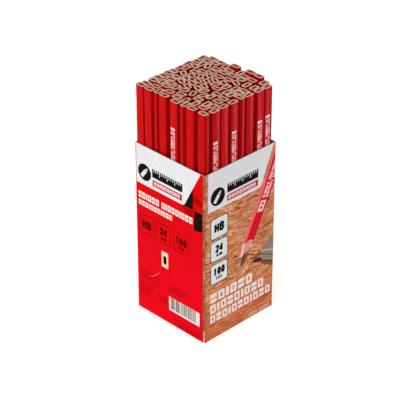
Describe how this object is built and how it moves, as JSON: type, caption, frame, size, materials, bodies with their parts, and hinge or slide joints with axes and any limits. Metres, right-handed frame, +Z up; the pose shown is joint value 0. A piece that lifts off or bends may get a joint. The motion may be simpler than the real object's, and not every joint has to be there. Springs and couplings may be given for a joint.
{
  "type": "carpenter pencil display box",
  "caption": "Open-top card box, standing upright and packed with flat rectangular carpenter pencils that rise above its rim; the pencils along its two display sides lift out one by one.",
  "frame": {"origin": "middle of the carton's underside, on the surface it stands on", "axes": "+X to the right along the front display side, +Y from the front display side to the back, +Z up along the pencils; the left display side faces -X"},
  "size_m": [0.094, 0.0926, 0.2475],
  "materials": {
    "printed_board": "satin",
    "lacquered_wood": "gloss",
    "lead": "matte"
  },
  "bodies": {
    "carton": {"carton": "printed_board", "pencil_bundle_01": "lacquered_wood", "pencil_bundle_02": "lacquered_wood", "pencil_bundle_03": "lacquered_wood", "pencil_bundle_04": "lacquered_wood", "pencil_bundle_05": "lacquered_wood", "pencil_bundle_06": "lacquered_wood", "pencil_bundle_07": "lacquered_wood", "pencil_bundle_08": "lacquered_wood", "pencil_bundle_09": "lacquered_wood", "pencil_bundle_10": "lacquered_wood"},
    "pencil_01": {"pencil_01_outer_slat": "lacquered_wood", "pencil_01_inner_slat": "lacquered_wood", "pencil_01_lead": "lead"},
    "pencil_02": {"pencil_02_outer_slat": "lacquered_wood", "pencil_02_inner_slat": "lacquered_wood", "pencil_02_lead": "lead"},
    "pencil_03": {"pencil_03_outer_slat": "lacquered_wood", "pencil_03_inner_slat": "lacquered_wood", "pencil_03_lead": "lead"},
    "pencil_04": {"pencil_04_outer_slat": "lacquered_wood", "pencil_04_inner_slat": "lacquered_wood", "pencil_04_lead": "lead"},
    "pencil_05": {"pencil_05_outer_slat": "lacquered_wood", "pencil_05_inner_slat": "lacquered_wood", "pencil_05_lead": "lead"},
    "pencil_06": {"pencil_06_outer_slat": "lacquered_wood", "pencil_06_inner_slat": "lacquered_wood", "pencil_06_lead": "lead"},
    "pencil_07": {"pencil_07_outer_slat": "lacquered_wood", "pencil_07_inner_slat": "lacquered_wood", "pencil_07_lead": "lead"},
    "pencil_08": {"pencil_08_outer_slat": "lacquered_wood", "pencil_08_inner_slat": "lacquered_wood", "pencil_08_lead": "lead"},
    "pencil_09": {"pencil_09_outer_slat": "lacquered_wood", "pencil_09_inner_slat": "lacquered_wood", "pencil_09_lead": "lead"},
    "pencil_10": {"pencil_10_outer_slat": "lacquered_wood", "pencil_10_inner_slat": "lacquered_wood", "pencil_10_lead": "lead"},
    "pencil_11": {"pencil_11_outer_slat": "lacquered_wood", "pencil_11_inner_slat": "lacquered_wood", "pencil_11_lead": "lead"},
    "pencil_12": {"pencil_12_outer_slat": "lacquered_wood", "pencil_12_inner_slat": "lacquered_wood", "pencil_12_lead": "lead"},
    "pencil_13": {"pencil_13_outer_slat": "lacquered_wood", "pencil_13_inner_slat": "lacquered_wood", "pencil_13_lead": "lead"},
    "pencil_14": {"pencil_14_outer_slat": "lacquered_wood", "pencil_14_inner_slat": "lacquered_wood", "pencil_14_lead": "lead"},
    "pencil_15": {"pencil_15_outer_slat": "lacquered_wood", "pencil_15_inner_slat": "lacquered_wood", "pencil_15_lead": "lead"}
  },
  "joints": [
    {"name": "pencil_01_lift", "type": "slide", "parent": "carton", "child": "pencil_01", "axis": [0, 0, 1], "range_m": [0, 0.25]},
    {"name": "pencil_02_lift", "type": "slide", "parent": "carton", "child": "pencil_02", "axis": [0, 0, 1], "range_m": [0, 0.25]},
    {"name": "pencil_03_lift", "type": "slide", "parent": "carton", "child": "pencil_03", "axis": [0, 0, 1], "range_m": [0, 0.25]},
    {"name": "pencil_04_lift", "type": "slide", "parent": "carton", "child": "pencil_04", "axis": [0, 0, 1], "range_m": [0, 0.25]},
    {"name": "pencil_05_lift", "type": "slide", "parent": "carton", "child": "pencil_05", "axis": [0, 0, 1], "range_m": [0, 0.25]},
    {"name": "pencil_06_lift", "type": "slide", "parent": "carton", "child": "pencil_06", "axis": [0, 0, 1], "range_m": [0, 0.25]},
    {"name": "pencil_07_lift", "type": "slide", "parent": "carton", "child": "pencil_07", "axis": [0, 0, 1], "range_m": [0, 0.25]},
    {"name": "pencil_08_lift", "type": "slide", "parent": "carton", "child": "pencil_08", "axis": [0, 0, 1], "range_m": [0, 0.25]},
    {"name": "pencil_09_lift", "type": "slide", "parent": "carton", "child": "pencil_09", "axis": [0, 0, 1], "range_m": [0, 0.25]},
    {"name": "pencil_10_lift", "type": "slide", "parent": "carton", "child": "pencil_10", "axis": [0, 0, 1], "range_m": [0, 0.25]},
    {"name": "pencil_11_lift", "type": "slide", "parent": "carton", "child": "pencil_11", "axis": [0, 0, 1], "range_m": [0, 0.25]},
    {"name": "pencil_12_lift", "type": "slide", "parent": "carton", "child": "pencil_12", "axis": [0, 0, 1], "range_m": [0, 0.25]},
    {"name": "pencil_13_lift", "type": "slide", "parent": "carton", "child": "pencil_13", "axis": [0, 0, 1], "range_m": [0, 0.25]},
    {"name": "pencil_14_lift", "type": "slide", "parent": "carton", "child": "pencil_14", "axis": [0, 0, 1], "range_m": [0, 0.25]},
    {"name": "pencil_15_lift", "type": "slide", "parent": "carton", "child": "pencil_15", "axis": [0, 0, 1], "range_m": [0, 0.25]}
  ]
}
